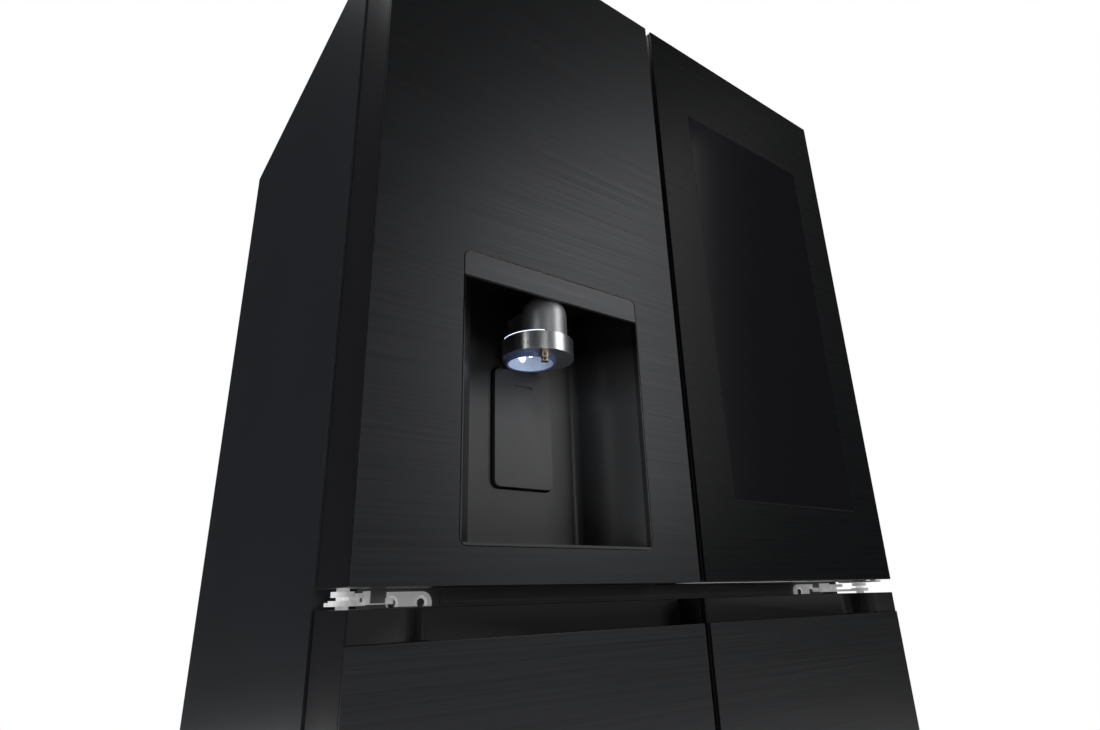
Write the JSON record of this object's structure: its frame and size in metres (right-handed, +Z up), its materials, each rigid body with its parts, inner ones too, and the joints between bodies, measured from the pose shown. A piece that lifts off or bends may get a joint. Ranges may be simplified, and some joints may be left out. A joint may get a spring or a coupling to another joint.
{
  "type": "french door refrigerator",
  "caption": "Tall dark four-door refrigerator with side-hinged doors above and below, a water and ice dispenser in the upper left door and a glazed viewing door on the upper right.",
  "frame": {"origin": "on the floor in the middle of the footprint, doors closed", "axes": "+Z up, -Y out of the front of the doors, +Y towards the back, +X to the right of someone facing the doors"},
  "size_m": [0.912, 0.738, 1.79],
  "materials": {
    "black_steel": "satin",
    "cabinet_paint": "satin",
    "foam": "matte",
    "white_liner": "satin",
    "dark_plastic": "matte",
    "grey_plastic": "matte",
    "white_plastic": "satin",
    "clear_plastic": "gloss",
    "shelf_glass": "gloss",
    "tinted_glass": "gloss",
    "galvanised": "satin",
    "zinc": "satin",
    "screw_steel": "satin",
    "satin_metal": "satin",
    "body_metal": "satin",
    "lit_lens": "gloss",
    "nozzle_brass": "polished",
    "seal_rubber": "matte",
    "pump_black": "satin",
    "copper": "satin",
    "alu_fins": "satin",
    "roller_nylon": "matte",
    "lamp_lens": "gloss",
    "back_sheet": "matte"
  },
  "bodies": {
    "cabinet": {"cabinet_wrapper": "cabinet_paint", "back_panel": "back_sheet", "insulation_foam": "foam", "fridge_liner": "white_liner", "freezer_liners": "white_liner", "middle_beam": "cabinet_paint", "base_frame": "galvanised", "toe_grille": "dark_plastic", "machine_room_cover": "back_sheet", "compressor": "pump_black", "condenser_coil": "copper", "evaporator": "alu_fins", "air_duct_cover": "white_plastic", "hinge_brackets": "zinc", "hinge_covers": "dark_plastic", "middle_hinges": "zinc", "hinge_screws": "screw_steel", "glass_shelves": "shelf_glass", "shelf_frames": "white_plastic", "crisper_drawers": "clear_plastic", "freezer_drawers": "clear_plastic", "light_panel": "lamp_lens", "rear_connections": "grey_plastic", "fan_motors": "grey_plastic"},
    "left_door": {"left_door_skin": "black_steel", "left_door_core": "foam", "left_door_liner": "white_liner", "left_door_gasket": "seal_rubber", "dispenser_recess": "dark_plastic", "dispenser_header": "dark_plastic", "spout_body": "body_metal", "spout_ring": "satin_metal", "chute_lens": "lit_lens", "water_nozzle": "nozzle_brass", "ice_room": "white_plastic", "left_door_bins": "clear_plastic"},
    "flap": {"mullion_flap": "grey_plastic"},
    "lever": {"dispenser_lever": "dark_plastic"},
    "drip_tray": {"drip_tray": "dark_plastic"},
    "right_inner_door": {"right_inner_door": "white_liner", "right_inner_gasket": "seal_rubber", "right_door_bins": "clear_plastic"},
    "viewing_door": {"right_outer_skin": "black_steel", "right_outer_core": "foam", "glass_panel": "tinted_glass", "right_outer_gasket": "seal_rubber"},
    "lower_left_door": {"lower_left_skin": "black_steel", "lower_left_core": "foam", "lower_left_cap": "dark_plastic", "lower_left_gasket": "seal_rubber"},
    "lower_right_door": {"lower_right_skin": "black_steel", "lower_right_core": "foam", "lower_right_cap": "dark_plastic", "lower_right_gasket": "seal_rubber"},
    "leg_left": {"levelling_leg_left": "galvanised"},
    "leg_right": {"levelling_leg_right": "galvanised"},
    "roller_left": {"rear_roller_left": "roller_nylon"},
    "roller_right": {"rear_roller_right": "roller_nylon"},
    "condenser_fan": {"condenser_fan": "roller_nylon"},
    "evaporator_fan": {"evaporator_fan": "white_plastic"}
  },
  "joints": [
    {"name": "left_door_swing", "type": "hinge", "parent": "cabinet", "child": "left_door", "pos_m": [-0.443, -0.319, 1.3], "axis": [0, 0, -1], "range_deg": [0, 125]},
    {"name": "right_inner_door_swing", "type": "hinge", "parent": "cabinet", "child": "right_inner_door", "pos_m": [0.443, -0.319, 1.3], "axis": [0, 0, 1], "range_deg": [0, 125]},
    {"name": "viewing_door_swing", "type": "hinge", "parent": "right_inner_door", "child": "viewing_door", "pos_m": [0.443, -0.345, 1.3], "axis": [0, 0, 1], "range_deg": [0, 110]},
    {"name": "lower_left_door_swing", "type": "hinge", "parent": "cabinet", "child": "lower_left_door", "pos_m": [-0.443, -0.319, 0.45], "axis": [0, 0, -1], "range_deg": [0, 125]},
    {"name": "lower_right_door_swing", "type": "hinge", "parent": "cabinet", "child": "lower_right_door", "pos_m": [0.443, -0.319, 0.45], "axis": [0, 0, 1], "range_deg": [0, 125]},
    {"name": "flap_fold", "type": "hinge", "parent": "left_door", "child": "flap", "pos_m": [-0.046, -0.261, 1.292], "axis": [0, 0, 1], "range_deg": [0, 90]},
    {"name": "lever_press", "type": "hinge", "parent": "left_door", "child": "lever", "pos_m": [-0.21555, -0.272, 1.129], "axis": [1, 0, 0], "range_deg": [0, 5], "stiffness_Nm_per_rad": 2, "springref_deg": -4.58},
    {"name": "drip_tray_lift", "type": "slide", "parent": "left_door", "child": "drip_tray", "axis": [0, 0, 1], "range_m": [0, 0.03]},
    {"name": "leg_left_screw", "type": "hinge", "parent": "cabinet", "child": "leg_left", "pos_m": [-0.415, -0.235, 0.02], "axis": [0, 0, 1], "continuous": true},
    {"name": "leg_right_screw", "type": "hinge", "parent": "cabinet", "child": "leg_right", "pos_m": [0.415, -0.235, 0.02], "axis": [0, 0, 1], "continuous": true},
    {"name": "roller_left_spin", "type": "hinge", "parent": "cabinet", "child": "roller_left", "pos_m": [-0.415, 0.3, 0.02], "axis": [1, 0, 0], "continuous": true},
    {"name": "roller_right_spin", "type": "hinge", "parent": "cabinet", "child": "roller_right", "pos_m": [0.415, 0.3, 0.02], "axis": [1, 0, 0], "continuous": true},
    {"name": "condenser_fan_spin", "type": "hinge", "parent": "cabinet", "child": "condenser_fan", "pos_m": [-0.025, 0.268, 0.15], "axis": [1, 0, 0], "continuous": true},
    {"name": "evaporator_fan_spin", "type": "hinge", "parent": "cabinet", "child": "evaporator_fan", "pos_m": [-0.22, 0.256, 0.73], "axis": [0, 1, 0], "continuous": true}
  ]
}
